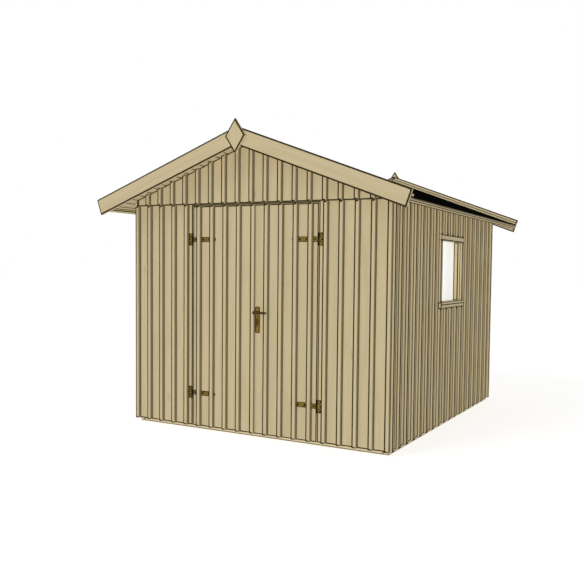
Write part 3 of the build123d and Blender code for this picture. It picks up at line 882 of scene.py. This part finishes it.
# %% Screws on the hinges
BUTT_HALF_HEIGHT = 0.052
PLATE_SET_BACK = 0.010
butt_low, butt_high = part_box("hinge_butts")
plate_front = butt_low.y + PLATE_SET_BACK
hinge_heights = (butt_low.z + BUTT_HALF_HEIGHT, butt_high.z - BUTT_HALF_HEIGHT)
PLATE_SCREWS = ((0.034, 0.041), (0.020, 0.022), (0.031, 0.0), (0.020, -0.022), (0.034, -0.041))
axis_x = {joint["name"]: joint["pos_m"][0] for joint in frame["joints"]}
plate_points = []
for joint_name in ("left_door_hinge", "right_door_hinge"):
    side = math.copysign(1, axis_x[joint_name])
    for height in hinge_heights:
        for across, above in PLATE_SCREWS:
            plate_points.append((axis_x[joint_name] + side * across, plate_front, height + above))
link("plate_screws", screws_at(plate_points), "shed", "dark_brass")

STRAP_REACHES = (0.030, 0.115, 0.175, 0.225)
for joint_name, body in (("left_door_hinge", "left_door"), ("right_door_hinge", "right_door")):
    side = math.copysign(1, axis_x[joint_name])
    strap_points = [(axis_x[joint_name] - side * reach, plate_front, height)
                    for height in hinge_heights for reach in STRAP_REACHES]
    link(body + "_strap_screws", screws_at(strap_points), body, "dark_brass")
print("screws in the plates:", len(plate_points), "and in each door's straps:", len(strap_points))

# %% [markdown]
# ## Ends of the levers
#
# Each lever starts in a round boss over its neck and ends in a small tapered tip. Both are turned
# shapes, so a profile of radii along the lever's axis is enough: the rings of points are joined by
# quads and closed at both ends.


# %% Turned ends of the levers
def turned(profile, start, direction, sides=20):
    """A turned solid; the profile lists pairs of distance along the axis and radius."""
    shape = bmesh.new()
    turn_to = Vector((0, 0, 1)).rotation_difference(Vector(direction)).to_matrix()
    rings = []
    for along, radius in profile:
        angles = [step * math.tau / sides for step in range(sides)]
        spots = [Vector((radius * math.cos(angle), radius * math.sin(angle), along))
                 for angle in angles]
        rings.append([shape.verts.new(Vector(start) + turn_to @ spot) for spot in spots])
    for near, far in zip(rings, rings[1:]):
        for step in range(sides):
            after = (step + 1) % sides
            shape.faces.new((near[step], near[after], far[after], far[step]))
    shape.faces.new(tuple(reversed(rings[0])))
    shape.faces.new(tuple(rings[-1]))
    return shape


TIP_PROFILE = ((0.0, 0.0088), (0.006, 0.0096), (0.014, 0.0088), (0.020, 0.0064), (0.023, 0.0030))
BOSS_PROFILE = ((0.0, 0.0050), (0.002, 0.0105), (0.006, 0.0135), (0.013, 0.0135), (0.017, 0.0100),
                (0.019, 0.0050))
LEVER_RADIUS = 0.009
BOSS_INSET = 0.003
lever_low, lever_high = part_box("lever_handle")
lever_place = next(joint["pos_m"] for joint in frame["joints"] if joint["name"] == "lever_turn")
lever_height = lever_place[2]
lever_ends = bpy.data.meshes.new("lever_ends")
combined = bmesh.new()
for lever_y in (lever_low.y + LEVER_RADIUS, lever_high.y - LEVER_RADIUS):
    tip_start = (lever_high.x - LEVER_RADIUS, lever_y, lever_height)
    boss_start = (lever_place[0] + BOSS_INSET, lever_y, lever_height)
    ends = ((TIP_PROFILE, tip_start, (1, 0, 0)), (BOSS_PROFILE, boss_start, (-1, 0, 0)))
    for profile, start, direction in ends:
        part = turned(profile, start, direction)
        part.to_mesh(lever_ends)
        part.free()
        combined.from_mesh(lever_ends)
combined.to_mesh(lever_ends)
combined.free()
lever_ends.materials.append(old_brass)
for polygon in lever_ends.polygons:
    polygon.use_smooth = True
link("lever_ends", lever_ends, "door_lever", "dark_brass")
print("lever ends:", len(lever_ends.polygons), "faces")

# %% [markdown]
# ## Keyhole cover
#
# The backplate is darker below the lever. A low oval cover over the keyhole is a likely reason, so
# one is turned from a flat profile and stretched upwards.

# %% Keyhole cover
COVER_STRETCH = 2.3
KEYHOLE_DROP = 0.078
COVER_PROFILE = ((0.0, 0.0135), (0.0012, 0.0135), (0.0020, 0.0110))
plate_front_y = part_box("handle_plates")[0].y
cover = turned(COVER_PROFILE, (0, 0, 0), (0, -1, 0))
bmesh.ops.scale(cover, vec=(1, 1, COVER_STRETCH), verts=cover.verts)
cover_place = (lever_place[0], plate_front_y, lever_height - KEYHOLE_DROP)
bmesh.ops.translate(cover, vec=cover_place, verts=cover.verts)
keyhole_cover = bpy.data.meshes.new("keyhole_cover")
cover.to_mesh(keyhole_cover)
cover.free()
keyhole_cover.materials.append(old_brass)
link("keyhole_cover", keyhole_cover, "right_door", "dark_brass")
print("keyhole cover:", len(keyhole_cover.polygons), "faces")

# %% [markdown]
# ## Floor and background
#
# The shed stands on a plain pale floor in front of white. The floor takes the shed's shadow from
# the lamps, and a little white is added only where the camera or a reflection looks at it, so that
# it melts into the background.

# %% Floor and world
ROOM = 60.0
FLOOR_COLOR = (0.80, 0.80, 0.80, 1)
FLOOR_GLOW = 0.62
SKY_LIGHT = 0.36

floor_mesh = bpy.data.meshes.new("studio_floor")
floor_corners = [(-ROOM, -ROOM, 0), (ROOM, -ROOM, 0), (ROOM, ROOM, 0), (-ROOM, ROOM, 0)]
floor_mesh.from_pydata(floor_corners, [], [(0, 1, 2, 3)])
studio_floor = bpy.data.objects.new("studio_floor", floor_mesh)
bpy.context.collection.objects.link(studio_floor)


def seen_directly(tree):
    """1 for rays from the camera, in a reflection or through glass; 0 for all other rays."""
    rays = add(tree, "ShaderNodeLightPath").outputs
    seen = arithmetic(tree, "MAXIMUM", rays["Is Camera Ray"], rays["Is Glossy Ray"])
    return arithmetic(tree, "MAXIMUM", seen, rays["Is Transmission Ray"])


pale, tree, shader = principled("pale_floor", Roughness=1.0, Specular_IOR_Level=0.0)
shader.inputs["Base Color"].default_value = FLOOR_COLOR
glow = add(tree, "ShaderNodeEmission")
join(tree, arithmetic(tree, "MULTIPLY", seen_directly(tree), FLOOR_GLOW), glow.inputs["Strength"])
both = add(tree, "ShaderNodeAddShader")
join(tree, shader.outputs[0], both.inputs[0])
join(tree, glow.outputs[0], both.inputs[1])
join(tree, both.outputs[0], tree.nodes["Material Output"].inputs["Surface"])
floor_mesh.materials.append(pale)

world = bpy.data.worlds.new("studio")
bpy.context.scene.world = world
world.use_nodes = True
tree = world.node_tree
sky = tree.nodes["Background"]
sky.inputs["Color"].default_value = (1, 1, 1, 1)
extra = arithmetic(tree, "MULTIPLY", seen_directly(tree), 1 - SKY_LIGHT)
join(tree, arithmetic(tree, "ADD", extra, SKY_LIGHT), sky.inputs["Strength"])
print("the sky lights the shed with", SKY_LIGHT, "and looks white where it is seen")

# %% [markdown]
# ## Light
#
# Only the key lamp, from the front left, casts a shadow. The others shine along one axis each
# without a shadow, so the brightness of each side of the shed can be set by itself. The white sky
# fills the rest evenly.

# %% Lamps
LAMP_SPREAD = math.radians(35)
LAMPS = {
    "key": ((0.55, 0.75, -0.62), 0.55, True),
    "front_fill": ((0.0, 1.0, 0.0), 1.65, False),
    "right_fill": ((-1.0, 0.0, 0.0), 0.97, False),
    "left_fill": ((1.0, 0.0, 0.0), 0.95, False),
    "back_fill": ((0.0, -1.0, 0.0), 0.95, False),
    "floor_bounce": ((0.0, 0.0, 1.0), 1.25, False),
}
for name, (direction, energy, shadow) in LAMPS.items():
    sun_data = bpy.data.lights.new(name, "SUN")
    sun_data.energy = energy
    sun_data.angle = LAMP_SPREAD
    sun_data.use_shadow = shadow
    sun = bpy.data.objects.new(name, sun_data)
    sun.rotation_euler = Vector(direction).to_track_quat("-Z", "Y").to_euler()
    bpy.context.collection.objects.link(sun)
print("lamps:", list(LAMPS))
